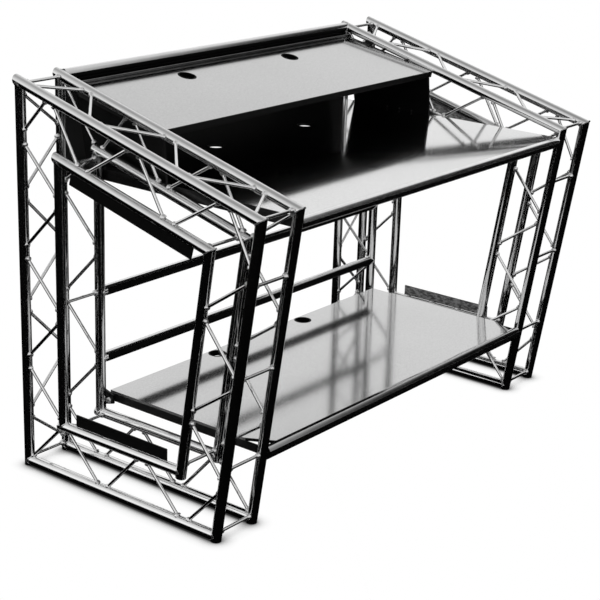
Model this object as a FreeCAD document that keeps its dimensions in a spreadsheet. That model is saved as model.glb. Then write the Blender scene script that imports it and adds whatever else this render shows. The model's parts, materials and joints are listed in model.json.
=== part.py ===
"""DJ booth: two laced box-truss end frames carrying a worktop, a lower shelf and a tilted upper shelf.

Frame: +X to the right of someone standing in front, +Y to the back, +Z up, floor at z = 0, millimetres.
Each end frame is a closed loop of four tubes. Two lie in the outboard plane and two in the inboard
plane, an outer and an inner tube in each. Zigzag rods lace the four tubes together.
"""
import FreeCAD
import Part

import math
import os

import Sketcher
from FreeCAD import Placement, Rotation, Vector

# Driving dimensions in millimetres, one row each: name and value
SIZES = (
    # Tubes and rods of the truss
    ("tube_diameter", 30.0),
    ("tube_wall", 2.0),
    ("rod_diameter", 9.0),
    ("truss_pitch", 150.0),
    ("weld_gap", 0.1),
    # Outline of the end frames, measured on the tube axes; the rises are above the worktop
    ("frame_span", 1650.0),
    ("worktop_height", 902.0),
    ("rear_rise", 248.0),
    ("front_rise", 21.0),
    ("top_reach", 870.0),
    ("foot_reach", 740.0),
    ("end_cap", 6.0),
    ("post_overrun", 18.0),
    # Lacing
    ("post_brace_leg", 154.0),
    ("chord_brace_leg", 122.0),
    ("node_gap", 14.0),
    ("end_setback", 20.0),
    ("front_rung_start", 205.0),
    ("front_rung_pitch", 267.0),
    # Scrim strips inside the end frames
    ("strip_width", 34.5),
    ("strip_thickness", 4.0),
    ("strip_offset", 1.5),
    ("strip_inset", 54.0),
    ("tab_length", 26.0),
    # Rear rails
    ("upper_rail_height", 540.0),
    ("lower_rail_height", 335.0),
    # Boards
    ("fit_gap", 0.2),
    ("edge_bar_thickness", 4.0),
    ("edge_bar_height", 24.0),
    ("hole_diameter", 50.0),
    ("board_hole_spacing", 434.0),
    ("worktop_thickness", 8.0),
    ("worktop_setback", 9.0),
    ("worktop_nosing_height", 34.0),
    ("worktop_nosing_depth", 15.0),
    ("worktop_hole_setback", 181.0),
    ("shelf_height", 237.0),
    ("shelf_thickness", 8.0),
    ("shelf_overhang", 29.0),
    ("shelf_rear_gap", 25.0),
    ("shelf_clip_width", 45.0),
    ("shelf_clip_depth", 80.0),
    ("shelf_hole_setback", 30.0),
    ("shelf_nosing_height", 42.0),
    ("shelf_nosing_depth", 18.0),
    ("corner_edge_thickness", 3.0),
    # Brackets of the lower shelf
    ("bracket_length", 42.0),
    ("bracket_tall", 50.0),
    ("bracket_short", 27.0),
    ("bracket_thickness", 6.0),
    ("bracket_drop", 25.0),
    # Upper shelf
    ("upper_front", 375.0),
    ("upper_front_drop", 6.2),
    ("upper_rear_drop", 23.6),
    ("upper_thickness", 19.0),
    ("upper_edge_depth", 3.0),
    ("upper_hole_spacing", 492.0),
    ("upper_hole_setback", 86.0),
    ("batten_depth", 18.0),
    ("batten_height", 8.0),
    ("lug_reach", 12.0),
    ("lug_rise", 5.0),
    ("rear_lug_setback", 103.0),
    ("rear_lug_width", 30.0),
    ("middle_lug_setback", 169.0),
    ("front_lug_setback", 268.0),
    ("slim_lug_width", 8.0),
    # Black panels
    ("panel_thickness", 9.0),
    ("back_panel_drop", 52.0),
    ("end_panel_inset", 12.0),
    ("end_panel_front_foot", 383.0),
    ("end_panel_front_head", 372.0),
    ("end_panel_rear_foot", 74.0),
    ("end_panel_rear_head", 38.0),
    ("cleat_side", 10.0),
    ("cleat_length", 200.0),
    ("cleat_setback", 20.0),
)

SIDES_PER_LOOP = 4
REAR, BOTTOM, FRONT, TOP = range(SIDES_PER_LOOP)
STATIONS = {REAR: 6, BOTTOM: 4, FRONT: 5, TOP: 5}
FRONT_RUNGS = 3
# Flats that stand for the round rods and for the hidden bores
ROD_SIDES = 6
BORE_SIDES = 6
UP = Vector(0, 0, 1)
ACROSS = Vector(1, 0, 0)

document = FreeCAD.newDocument("dj_booth")
sheet = document.addObject("Spreadsheet::Sheet", "Sizes")
for row, (alias, number) in enumerate(SIZES, start=1):
    sheet.set(f"A{row}", alias)
    sheet.set(f"B{row}", str(number))
    sheet.setAlias(f"B{row}", alias)
document.recompute()


def size(expression):
    """Value of an expression over the aliases of the sheet."""
    return float(sheet.evalExpression(expression))


nodes = []
tube_radius = size("Sizes.tube_diameter / 2")
pitch = size("Sizes.truss_pitch")
rod_radius = size("Sizes.rod_diameter / 2")
weld_gap = size("Sizes.weld_gap")
fit_gap = size("Sizes.fit_gap")
outboard_x = -size("Sizes.frame_span / 2")
inboard_x = outboard_x + pitch
clear_half_width = -inboard_x - tube_radius


# Outline of the end frame in the plane x = 0

def meeting_point(first, first_run, second, second_run):
    """Point where two lines of the YZ plane cross."""
    cross = first_run.y * second_run.z - first_run.z * second_run.y
    across = second - first
    along = (across.y * second_run.z - across.z * second_run.y) / cross
    return first + first_run * along


def unit(vector):
    """Copy of a vector with length one."""
    return vector / vector.Length


def side_run(corners, side):
    """Unit direction of one side of a loop, from its first corner to its last."""
    return unit(corners[(side + 1) % SIDES_PER_LOOP] - corners[side])


def side_length(corners, side):
    return (corners[(side + 1) % SIDES_PER_LOOP] - corners[side]).Length


def inward(corners, side):
    """Unit normal of one side, pointing into the loop."""
    run = side_run(corners, side)
    return Vector(0, run.z, -run.y)


def inset_loop(corners, inset):
    """Corners of the loop that lies inside another one at a constant distance."""
    inner = []
    for side in range(SIDES_PER_LOOP):
        before = side - 1
        start = corners[side]
        inner.append(meeting_point(
            start + inward(corners, before % SIDES_PER_LOOP) * inset,
            side_run(corners, before % SIDES_PER_LOOP),
            start + inward(corners, side) * inset,
            side_run(corners, side)))
    return inner


def mitre_reach(corners, corner):
    """Vector from a mitred corner of the axes to the outermost point of the mitre."""
    to_next = side_run(corners, corner)
    to_previous = side_run(corners, corner - 1 if corner else SIDES_PER_LOOP - 1) * -1
    middle = unit(to_next + to_previous)
    return middle * (-tube_radius / math.sin(middle.getAngle(to_next)))


def frame_corners(rear_y):
    """Outer corners in the order rear top, rear bottom, front bottom, front top."""
    return [
        Vector(0, rear_y, size("Sizes.worktop_height + Sizes.rear_rise")),
        Vector(0, rear_y, tube_radius),
        Vector(0, rear_y - size("Sizes.foot_reach"), tube_radius),
        Vector(0, rear_y - size("Sizes.top_reach"), size("Sizes.worktop_height + Sizes.front_rise")),
    ]


unplaced = frame_corners(0)
front_tip = unplaced[TOP] + mitre_reach(unplaced, TOP)
rear_axis = -(tube_radius + front_tip.y) / 2
outer = frame_corners(rear_axis)
inner = inset_loop(outer, pitch)


def at(x, point):
    """The same point of the outline in another plane."""
    return Vector(x, point.y, point.z)


def ahead_of_rear(distance):
    """Y of a place at a distance in front of the rear post axis."""
    return rear_axis - distance


# Building blocks

def keep(node, feature):
    """Name a finished feature as a node of the booth."""
    feature.Label = node
    nodes.append(feature)
    return feature


def facing(direction):
    """Rotation that turns +Z into a direction."""
    return Rotation(UP, direction)


def round_bar(name, radius, start, end):
    """Cylinder between two points, its radius bound to the sheet."""
    bar = document.addObject("Part::Cylinder", name)
    bar.setExpression("Radius", radius)
    bar.Height = (end - start).Length
    bar.Placement = Placement(start, facing(end - start))
    return bar


def brick(name, lengths, place):
    """Box with its three lengths bound to the sheet."""
    box = document.addObject("Part::Box", name)
    for side, expression in zip(("Length", "Width", "Height"), lengths):
        box.setExpression(side, expression)
    box.Placement = place
    return box


def cutting_block(name, point, direction):
    """Cube that clears everything beyond a plane."""
    edge = "Sizes.tube_diameter * 4"
    half = size(edge) / 2
    turn = facing(direction)
    corner = turn.multVec(Vector(-half, -half, 0))
    return brick(name, (edge, edge, edge), Placement(point + corner, turn))


def cut(name, base, tool):
    cut_away = document.addObject("Part::Cut", name)
    cut_away.Base = base
    cut_away.Tool = tool
    return cut_away


def group(name, members):
    compound = document.addObject("Part::Compound", name)
    compound.Links = members
    return compound


def tube(name, start, end, cutters, overrun=(0, 0), caps=(0, 0)):
    """Hollow tube on an axis, run on past its ends, cut back, and closed by end caps where asked."""
    run = unit(end - start)
    first = start - run * overrun[0]
    last = end + run * overrun[1]
    skin = round_bar(name + "_skin", "Sizes.tube_diameter / 2", first, last)
    bore = document.addObject("Part::Prism", name + "_bore")
    bore.Polygon = BORE_SIDES
    bore.setExpression("Circumradius", "Sizes.tube_diameter / 2 - Sizes.tube_wall")
    bore.Height = (last - first).Length - caps[0] - caps[1]
    bore.Placement = Placement(first + run * caps[0], facing(run))
    piece = cut(name + "_hollow", skin, bore)
    for number, cutter in enumerate(cutters):
        piece = cut(f"{name}_end_{number}", piece, cutter)
    return piece


def cope(name, start, end):
    """Round cutter that shapes a tube end to sit on another tube."""
    run = unit(end - start) * pitch
    return round_bar(name, "Sizes.tube_diameter / 2 + Sizes.weld_gap", start - run, end + run)


def twin_of(name, feature):
    """Mirror image of a left-hand feature on the right."""
    twin = document.addObject("Part::Mirroring", name)
    twin.Source = feature
    twin.Normal = ACROSS
    return twin


def both_sides(name, feature):
    """Keep a left-hand feature and its right-hand twin."""
    keep("left_" + name, feature)
    keep("right_" + name, twin_of("right_" + name, feature))


# Tubes of the end frame

def mitre_block(name, corners, x, corner, side):
    """Cutter that takes one side's tube back to the mitre plane of a corner."""
    before = side_run(corners, corner - 1 if corner else SIDES_PER_LOOP - 1) * -1
    after = side_run(corners, corner)
    away = unit(before - after)
    if side != corner:
        away = away * -1
    shy = away * (weld_gap / 2)
    return cutting_block(name, at(x, corners[corner]) - shy, away)


def end_block(name, x, corner):
    """Cutter that squares a chord off, flush with the back of the post below it."""
    return cutting_block(name, Vector(x, corner.y + tube_radius, corner.z), Vector(0, 1, 0))


def side_ends(corners, x, side):
    return at(x, corners[side]), at(x, corners[(side + 1) % SIDES_PER_LOOP])


def loop_tubes(tag, x, corners, stands_on_floor):
    """The four tubes of one loop: rear post, bottom chord, front post and top chord."""
    spare = size("Sizes.tube_diameter * 1.5")
    cap = size("Sizes.end_cap")
    rear_ends = side_ends(corners, x, REAR)
    bottom_ends = side_ends(corners, x, BOTTOM)
    front_ends = side_ends(corners, x, FRONT)
    top_ends = side_ends(corners, x, TOP)
    top_cope = cope(tag + "_top_cope", *top_ends)
    front_cope = cope(tag + "_front_cope", *front_ends)
    front_mitre = mitre_block(tag + "_front_mitre", corners, x, TOP, FRONT)
    top_mitre = mitre_block(tag + "_top_mitre", corners, x, TOP, TOP)
    top_end = end_block(tag + "_top_end", x, corners[REAR])
    slope = side_run(corners, TOP).y
    top_spare = tube_radius / slope + spare
    top_tube = tube(tag + "_top", *top_ends, [top_mitre, top_end], (spare, top_spare), (0, spare + cap))
    if stands_on_floor:
        floor = Vector(x, front_ends[0].y, 0)
        front_sole = cutting_block(tag + "_front_sole", floor, UP * -1)
        rear_tube = tube(tag + "_rear", *rear_ends, [top_cope], (0, tube_radius), (0, cap))
        front_tube = tube(tag + "_front", *front_ends, [front_mitre, front_sole], (spare, spare), (spare, 0))
        rear_cope = cope(tag + "_rear_cope", *rear_ends)
        bottom_tube = tube(tag + "_bottom", *bottom_ends, [rear_cope, front_cope])
    else:
        overrun = size("Sizes.post_overrun")
        bottom_cope = cope(tag + "_bottom_cope", *bottom_ends)
        rear_tube = tube(tag + "_rear", *rear_ends, [top_cope, bottom_cope])
        front_tube = tube(tag + "_front", *front_ends, [front_mitre], (overrun, spare), (cap, 0))
        bottom_tube = tube(tag + "_bottom", *bottom_ends, [front_cope], (tube_radius, 0), (cap, 0))
    return {REAR: rear_tube, BOTTOM: bottom_tube, FRONT: front_tube, TOP: top_tube}


tube_sets = {
    "outer": [loop_tubes("a_outer", outboard_x, outer, True), loop_tubes("b_outer", inboard_x, outer, True)],
    "inner": [loop_tubes("a_inner", outboard_x, inner, False), loop_tubes("b_inner", inboard_x, inner, False)],
}
TUBE_NODES = {REAR: "rear_posts", BOTTOM: "bottom_chords", FRONT: "front_posts", TOP: "top_chords"}
for loop_name, loops in tube_sets.items():
    for side, node in TUBE_NODES.items():
        pair = group(f"{node}_{loop_name}_pair", [tubes[side] for tubes in loops])
        both_sides(f"{node}_{loop_name}", pair)


# Lacing

def rod_blank(start, end):
    """Straight rod from point to point, drawn with flats."""
    line = unit(end - start)
    turn = facing(line)
    corners = []
    for number in range(ROD_SIDES + 1):
        angle = 2 * math.pi * number / ROD_SIDES
        corners.append(start + turn.multVec(Vector(math.cos(angle), math.sin(angle), 0) * rod_radius))
    return Part.Face(Part.makePolygon(corners)).extrude(end - start)


def rod(start, start_run, end, end_run):
    """Rod between two tube axes, each end cut flat along the skin of its tube."""
    line = unit(end - start)
    bar = rod_blank(start, end)
    edge = size("Sizes.tube_diameter * 4")
    for point, tube_run, toward in ((start, start_run, line), (end, end_run, line * -1)):
        off_tube = unit(toward - tube_run * toward.dot(tube_run))
        block = Part.makeBox(edge, edge, edge, Vector(-edge / 2, -edge / 2, 0))
        block.Placement = Placement(point + off_tube * (tube_radius + weld_gap), facing(off_tube * -1))
        bar = bar.cut(block)
    return bar


def station_distances(side):
    """Distances of the lacing nodes along one side of the outer loop."""
    post_leg = size("Sizes.post_brace_leg")
    chord_leg = size("Sizes.chord_brace_leg")
    first = {REAR: post_leg, BOTTOM: pitch, FRONT: post_leg, TOP: chord_leg}[side]
    last = {REAR: pitch, BOTTOM: chord_leg, FRONT: post_leg, TOP: chord_leg}[side]
    count = STATIONS[side]
    step = (side_length(outer, side) - first - last) / (count - 1)
    return [first + step * number for number in range(count)]


def outer_point(side, distance):
    return outer[side] + side_run(outer, side) * distance


def inner_point(side, distance):
    """Point of the inner tube opposite a station, held between the inner corners."""
    run = side_run(inner, side)
    along = (outer_point(side, distance) - inner[side]).dot(run)
    return inner[side] + run * min(max(along, 0), side_length(inner, side))


def plane_lacing(x, outer_first):
    """Zigzag between outer and inner tube in one plane, right round the loop."""
    rods = []
    last_outer = {}
    half_gap = size("Sizes.node_gap / 2")
    for side in range(SIDES_PER_LOOP):
        run = side_run(outer, side)
        on_outer = outer_first[side]
        points = []
        for distance in station_distances(side):
            place = outer_point(side, distance) if on_outer else inner_point(side, distance)
            points.append(at(x, place))
            last_outer[side] = on_outer
            on_outer = not on_outer
        for start, end in zip(points, points[1:]):
            rods.append(rod(start + run * half_gap, run, end - run * half_gap, run))
    for side in range(SIDES_PER_LOOP):
        corner = (side + 1) % SIDES_PER_LOOP
        run = side_run(outer, side)
        next_run = side_run(outer, corner)
        if last_outer[side] and outer_first[corner]:
            start = outer_point(side, station_distances(side)[-1])
            end = outer_point(corner, station_distances(corner)[0])
            rods.append(rod(at(x, start) + run * half_gap, run, at(x, end) - next_run * half_gap, next_run))
        else:
            rods.append(corner_rod(x, corner))
    return rods


def corner_rod(x, corner):
    """Diagonal rod from an inner corner into the crotch of the outer corner, shaped to both tubes."""
    bar = rod_blank(at(x, inner[corner]), at(x, outer[corner]))
    for corners in (inner, outer):
        for side in (corner, corner - 1 if corner else SIDES_PER_LOOP - 1):
            run = side_run(corners, side) * pitch
            skin = Part.makeCylinder(tube_radius + weld_gap, 2 * pitch, at(x, corners[corner]) - run, run)
            bar = bar.cut(skin)
    return bar.Solids[0]


def face_lacing(side, outboard_ends):
    """Zigzag between the two outer tubes of one side, across the width of the truss."""
    run = side_run(outer, side)
    setback = size("Sizes.end_setback")
    distances = [setback] + station_distances(side) + [side_length(outer, side) - setback]
    half_gap = size("Sizes.node_gap / 2")
    rods = []
    on_outboard = outboard_ends
    points = []
    for distance in distances:
        points.append(at(outboard_x if on_outboard else inboard_x, outer_point(side, distance)))
        on_outboard = not on_outboard
    for start, end in zip(points, points[1:]):
        rods.append(rod(start + run * half_gap, run, end - run * half_gap, run))
    return rods


def rung(point, run):
    """Straight rod across the width of the truss."""
    return rod(at(outboard_x, point), run, at(inboard_x, point), run)


def all_rungs():
    setback = size("Sizes.end_setback")
    first = size("Sizes.front_rung_start")
    step = size("Sizes.front_rung_pitch")
    places = [(FRONT, first + step * number) for number in range(FRONT_RUNGS)]
    places += [(TOP, setback / 2), (TOP, side_length(outer, TOP) - setback / 2)]
    places += [(FRONT, setback / 2), (REAR, side_length(outer, REAR) - setback / 2)]
    rungs = [rung(outer_point(side, distance), side_run(outer, side)) for side, distance in places]
    for side in range(SIDES_PER_LOOP):
        run = side_run(inner, side)
        rungs.append(rung(inner[side] + run * setback, run))
    rail_level = inner[BOTTOM] + UP * (size("Sizes.upper_rail_height") - inner[BOTTOM].z)
    rungs.append(rung(rail_level, UP))
    return rungs


def shaped(name, solids):
    """Feature that holds welded rods as separate solids."""
    feature = document.addObject("Part::Feature", name)
    feature.Shape = Part.makeCompound(solids)
    return feature


OUTBOARD_PHASE = {REAR: True, BOTTOM: False, FRONT: True, TOP: True}
INBOARD_PHASE = {side: not phase for side, phase in OUTBOARD_PHASE.items()}
both_sides("lacing_outboard", shaped("outboard_rods", plane_lacing(outboard_x, OUTBOARD_PHASE)))
both_sides("lacing_inboard", shaped("inboard_rods", plane_lacing(inboard_x, INBOARD_PHASE)))
both_sides("lacing_rear", shaped("rear_rods", face_lacing(REAR, True)))
both_sides("lacing_top", shaped("top_rods", face_lacing(TOP, True)))
both_sides("cross_rungs", shaped("rungs", all_rungs()))


# Scrim strips

def strip_frame(side, along, off_axis):
    """Placement on the inner tube of the outboard plane: X along the tube, Z into the loop."""
    run = side_run(inner, side)
    into = inward(inner, side)
    turn = Rotation(run, into.cross(run), into, "XZY")
    back = turn.multVec(Vector(0, 1, 0)) * size("Sizes.strip_thickness / -2")
    return Placement(at(outboard_x, inner[side] + run * along + into * off_axis) + back, turn)


def scrim_strip(name, side):
    """Flat bar beside an inner chord and the tabs that hold it."""
    inset = size("Sizes.strip_inset")
    length = side_length(inner, side) - 2 * inset
    skin = tube_radius + weld_gap
    reach = size("Sizes.strip_offset")
    bar = brick(name + "_bar", ("Sizes.strip_thickness",) * 3, strip_frame(side, inset, skin + reach))
    bar.setExpression("Height", "Sizes.strip_width")
    bar.setExpression("Length", f"{length} mm")
    tabs = []
    for number, share in enumerate((0, 1 / 3, 2 / 3, 1)):
        along = inset + share * (length - size("Sizes.tab_length"))
        tabs.append(brick(f"{name}_tab_{number}",
                          ("Sizes.tab_length", "Sizes.strip_thickness", "Sizes.strip_offset - Sizes.weld_gap"),
                          strip_frame(side, along, skin)))
    return bar, tabs


upper_strip, upper_tabs = scrim_strip("upper_scrim", TOP)
lower_strip, lower_tabs = scrim_strip("lower_scrim", BOTTOM)
both_sides("scrim_strip_upper", upper_strip)
both_sides("scrim_strip_lower", lower_strip)
both_sides("scrim_tabs", group("tabs", upper_tabs + lower_tabs))


# Tubes across the back

def cross_tube(node, y, z, left_cutters):
    """Tube between the end frames, each end shaped to the tube it is welded to."""
    piece = tube(node + "_run", Vector(inboard_x, y, z), Vector(-inboard_x, y, z), left_cutters)
    for number, cutter in enumerate(left_cutters):
        right = twin_of(f"{node}_right_{number}", cutter)
        piece = cut(f"{node}_right_end_{number}", piece, right)
    return keep(node, piece)


chord_cope = cope("rear_tube_chord_cope", *side_ends(outer, inboard_x, TOP))
post_cope = cope("rear_tube_post_cope", *side_ends(outer, inboard_x, REAR))
rail_cope = cope("rail_cope", *side_ends(inner, inboard_x, REAR))
cross_tube("rear_top_tube", rear_axis, outer[REAR].z, [chord_cope, post_cope])
cross_tube("rear_rail_upper", inner[REAR].y, size("Sizes.upper_rail_height"), [rail_cope])
cross_tube("rear_rail_lower", inner[REAR].y, size("Sizes.lower_rail_height"), [rail_cope])


# Boards

def origin_plane(body, role):
    return next(plane for plane in body.Origin.OriginFeatures if plane.Role == role)


def body_sketch(body, role, name):
    sketch = body.newObject("Sketcher::SketchObject", name)
    sketch.AttachmentSupport = (origin_plane(body, role), [""])
    sketch.MapMode = "FlatFace"
    return sketch


def closed_outline(sketch, points):
    """Closed chain of lines through points."""
    count = len(points)
    for number, point in enumerate(points):
        after = points[(number + 1) % count]
        sketch.addGeometry(Part.LineSegment(Vector(*point, 0), Vector(*after, 0)), False)
    for number in range(count):
        sketch.addConstraint(Sketcher.Constraint("Coincident", number, 2, (number + 1) % count, 1))


def bind(sketch, kind, places, name, expression):
    """Named dimension of a sketch, bound to the sheet."""
    index = sketch.addConstraint(Sketcher.Constraint(kind, *places, size(expression)))
    sketch.renameConstraint(index, name)
    sketch.setExpression("Constraints." + name, expression)


def middle_rectangle(sketch, width, depth):
    """Rectangle centred on the sketch's upright axis, standing on its level axis."""
    half = size(width) / 2
    deep = size(depth)
    closed_outline(sketch, [(-half, 0), (half, 0), (half, deep), (-half, deep)])
    for level in (0, 2):
        sketch.addConstraint(Sketcher.Constraint("Horizontal", level))
    for upright in (1, 3):
        sketch.addConstraint(Sketcher.Constraint("Vertical", upright))
    sketch.addConstraint(Sketcher.Constraint("Symmetric", 0, 1, 0, 2, -1, 1))
    bind(sketch, "DistanceX", (0, 1, 0, 2), "width", width)
    bind(sketch, "DistanceY", (1, 1, 1, 2), "depth", depth)


def pad(body, sketch, name, length, symmetric=False):
    raised = body.newObject("PartDesign::Pad", name)
    raised.Profile = sketch
    raised.setExpression("Length", length)
    if symmetric:
        raised.SideType = "Symmetric"
    return raised


def round_holes(body, name, role, diameter, spacing, setback, upward=True):
    """Pair of round through holes, level with each other."""
    sketch = body_sketch(body, role, name + "_circles")
    half = size(spacing) / 2
    back = size(setback)
    radius = size(diameter) / 2
    for centre in (-half, half):
        sketch.addGeometry(Part.Circle(Vector(centre, back, 0), UP, radius), False)
    sketch.addConstraint(Sketcher.Constraint("Equal", 0, 1))
    sketch.addConstraint(Sketcher.Constraint("Symmetric", 0, 3, 1, 3, -2))
    bind(sketch, "DistanceX", (0, 3, 1, 3), "spacing", spacing)
    bind(sketch, "DistanceY", (-1, 1, 0, 3), "setback", setback)
    bind(sketch, "Diameter", (0,), "diameter", diameter)
    drilled = body.newObject("PartDesign::Pocket", name)
    drilled.Profile = sketch
    drilled.Type = "ThroughAll"
    drilled.Reversed = upward
    return drilled


def board(node, width, depth, thickness, hole_spacing, hole_setback, place):
    """Flat board with two cable holes, its front edge on the local X axis."""
    body = document.addObject("PartDesign::Body", node)
    sketch = body_sketch(body, "XY_Plane", node + "_outline")
    middle_rectangle(sketch, width, depth)
    pad(body, sketch, node + "_slab", thickness)
    round_holes(body, node + "_holes", "XY_Plane", "Sizes.hole_diameter", hole_spacing, hole_setback)
    body.Placement = place
    return keep(node, body)


def nosing(node, width, height, depth, place):
    """Bull-nose on the front edge of a board: upright back, rounded front."""
    body = document.addObject("PartDesign::Body", node)
    sketch = body_sketch(body, "YZ_Plane", node + "_profile")
    tall = size(height)
    deep = size(depth)
    bulge = Part.Arc(Vector(0, tall, 0), Vector(-deep, tall / 2, 0), Vector(0, 0, 0))
    sketch.addGeometry(Part.LineSegment(Vector(0, 0, 0), Vector(0, tall, 0)), False)
    sketch.addGeometry(bulge, False)
    start, end = (1, 2) if (bulge.StartPoint - Vector(0, tall, 0)).Length < weld_gap else (2, 1)
    sketch.addConstraint(Sketcher.Constraint("Coincident", 0, 2, 1, start))
    sketch.addConstraint(Sketcher.Constraint("Coincident", 0, 1, 1, end))
    sketch.addConstraint(Sketcher.Constraint("Coincident", 0, 1, -1, 1))
    sketch.addConstraint(Sketcher.Constraint("Vertical", 0))
    bind(sketch, "DistanceY", (0, 1, 0, 2), "height", height)
    centre = f"({height} * {height} / 4 - {depth} * {depth}) / (2 * {depth})"
    bind(sketch, "DistanceX", (0, 1, 1, 3), "centre", centre)
    pad(body, sketch, node + "_bar", width, symmetric=True)
    body.Placement = place
    return keep(node, body)


CLEAR_WIDTH = "(Sizes.frame_span - 2 * Sizes.truss_pitch - Sizes.tube_diameter)"
BOARD_WIDTH = f"({CLEAR_WIDTH} - 2 * Sizes.fit_gap)"
BACK_FACE = "(Sizes.panel_thickness / 2 + Sizes.fit_gap)"
board_left_x = -clear_half_width + fit_gap


def edge_bar(name, front_y, rear_y, board_underside):
    """Flat bar on edge beside the tubes, under the side of the board that it carries."""
    foot = board_underside - weld_gap - size("Sizes.edge_bar_height")
    return brick(name, ("Sizes.edge_bar_thickness", f"{rear_y - front_y} mm", "Sizes.edge_bar_height"),
                 Placement(Vector(board_left_x, front_y, foot), Rotation()))


WORKTOP_FRONT = "(Sizes.top_reach - Sizes.worktop_setback)"
WORKTOP_DEPTH = f"({WORKTOP_FRONT} - {BACK_FACE})"
worktop_y = ahead_of_rear(size(WORKTOP_FRONT))
worktop_underside = size("Sizes.worktop_height - Sizes.worktop_thickness")
worktop_nose_z = size("Sizes.worktop_height - Sizes.worktop_nosing_height")
board("worktop_board", BOARD_WIDTH, WORKTOP_DEPTH, "Sizes.worktop_thickness", "Sizes.board_hole_spacing",
      f"{WORKTOP_DEPTH} - Sizes.worktop_hole_setback",
      Placement(Vector(0, worktop_y, worktop_underside), Rotation()))
nosing("worktop_nosing", BOARD_WIDTH, "Sizes.worktop_nosing_height", "Sizes.worktop_nosing_depth",
       Placement(Vector(0, worktop_y - fit_gap, worktop_nose_z), Rotation()))
worktop_rear = worktop_y + size(WORKTOP_DEPTH)
both_sides("worktop_edge_bar", edge_bar("worktop_bar", worktop_y, worktop_rear, worktop_underside))


# Lower shelf with clipped front corners

SHELF_FRONT = "(Sizes.foot_reach + Sizes.shelf_overhang)"
SHELF_REAR = "(Sizes.truss_pitch + Sizes.shelf_rear_gap)"
SHELF_DEPTH = f"({SHELF_FRONT} - {SHELF_REAR})"
shelf_y = ahead_of_rear(size(SHELF_FRONT))
shelf_rear = ahead_of_rear(size(SHELF_REAR))
shelf_underside = size("Sizes.shelf_height - Sizes.shelf_thickness")
shelf_nose_z = size("Sizes.shelf_height - Sizes.shelf_nosing_height")


def clipped_outline(sketch):
    """Board outline with both front corners taken off."""
    half = size(BOARD_WIDTH) / 2
    deep = size(SHELF_DEPTH)
    clip_x = size("Sizes.shelf_clip_width")
    clip_y = size("Sizes.shelf_clip_depth")
    closed_outline(sketch, [(clip_x - half, 0), (half - clip_x, 0), (half, clip_y),
                            (half, deep), (-half, deep), (-half, clip_y)])
    for level in (0, 3):
        sketch.addConstraint(Sketcher.Constraint("Horizontal", level))
    for upright in (2, 4):
        sketch.addConstraint(Sketcher.Constraint("Vertical", upright))
    sketch.addConstraint(Sketcher.Constraint("Symmetric", 0, 1, 0, 2, -1, 1))
    sketch.addConstraint(Sketcher.Constraint("Symmetric", 1, 2, 5, 1, -2))
    bind(sketch, "DistanceX", (3, 2, 3, 1), "width", BOARD_WIDTH)
    bind(sketch, "DistanceX", (0, 2, 1, 2), "clip_width", "Sizes.shelf_clip_width")
    bind(sketch, "DistanceY", (0, 2, 1, 2), "clip_depth", "Sizes.shelf_clip_depth")
    bind(sketch, "DistanceY", (0, 2, 2, 2), "depth", SHELF_DEPTH)


shelf_body = document.addObject("PartDesign::Body", "lower_shelf_board")
shelf_sketch = body_sketch(shelf_body, "XY_Plane", "lower_shelf_outline")
clipped_outline(shelf_sketch)
pad(shelf_body, shelf_sketch, "lower_shelf_slab", "Sizes.shelf_thickness")
round_holes(shelf_body, "lower_shelf_holes", "XY_Plane", "Sizes.hole_diameter", "Sizes.board_hole_spacing",
            f"{SHELF_DEPTH} - Sizes.shelf_hole_setback")
shelf_body.Placement = Placement(Vector(0, shelf_y, shelf_underside), Rotation())
keep("lower_shelf_board", shelf_body)
nosing("lower_shelf_nosing", BOARD_WIDTH, "Sizes.shelf_nosing_height", "Sizes.shelf_nosing_depth",
       Placement(Vector(0, shelf_y - fit_gap, shelf_nose_z), Rotation()))


# Edging of the clipped corners and the brackets on the inner posts

def corner_edge():
    """Thin black edging along the clipped left corner of the shelf, short of the nosing and of the side."""
    half = size(BOARD_WIDTH) / 2
    clip = Vector(-size("Sizes.shelf_clip_width"), size("Sizes.shelf_clip_depth"), 0)
    turn = Rotation(ACROSS, clip)
    stand_off = size("Sizes.corner_edge_thickness") + fit_gap
    front_gap = fit_gap - stand_off * clip.x / clip.y
    side_gap = fit_gap - stand_off * clip.y / clip.x
    corner = Vector(size("Sizes.shelf_clip_width") - half, shelf_y, shelf_underside)
    offset = turn.multVec(Vector(front_gap, fit_gap, 0))
    length = f"{clip.Length - front_gap - side_gap} mm"
    return brick("left_corner_edge", (length, "Sizes.corner_edge_thickness", "Sizes.shelf_thickness"),
                 Placement(corner + offset, turn))


left_corner = corner_edge()
right_corner = twin_of("right_corner_edge", left_corner)
keep("lower_shelf_corner_edges", group("corner_edges", [left_corner, right_corner]))
both_sides("lower_shelf_edge_bar", edge_bar("shelf_bar", shelf_y, shelf_rear, shelf_underside))


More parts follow.
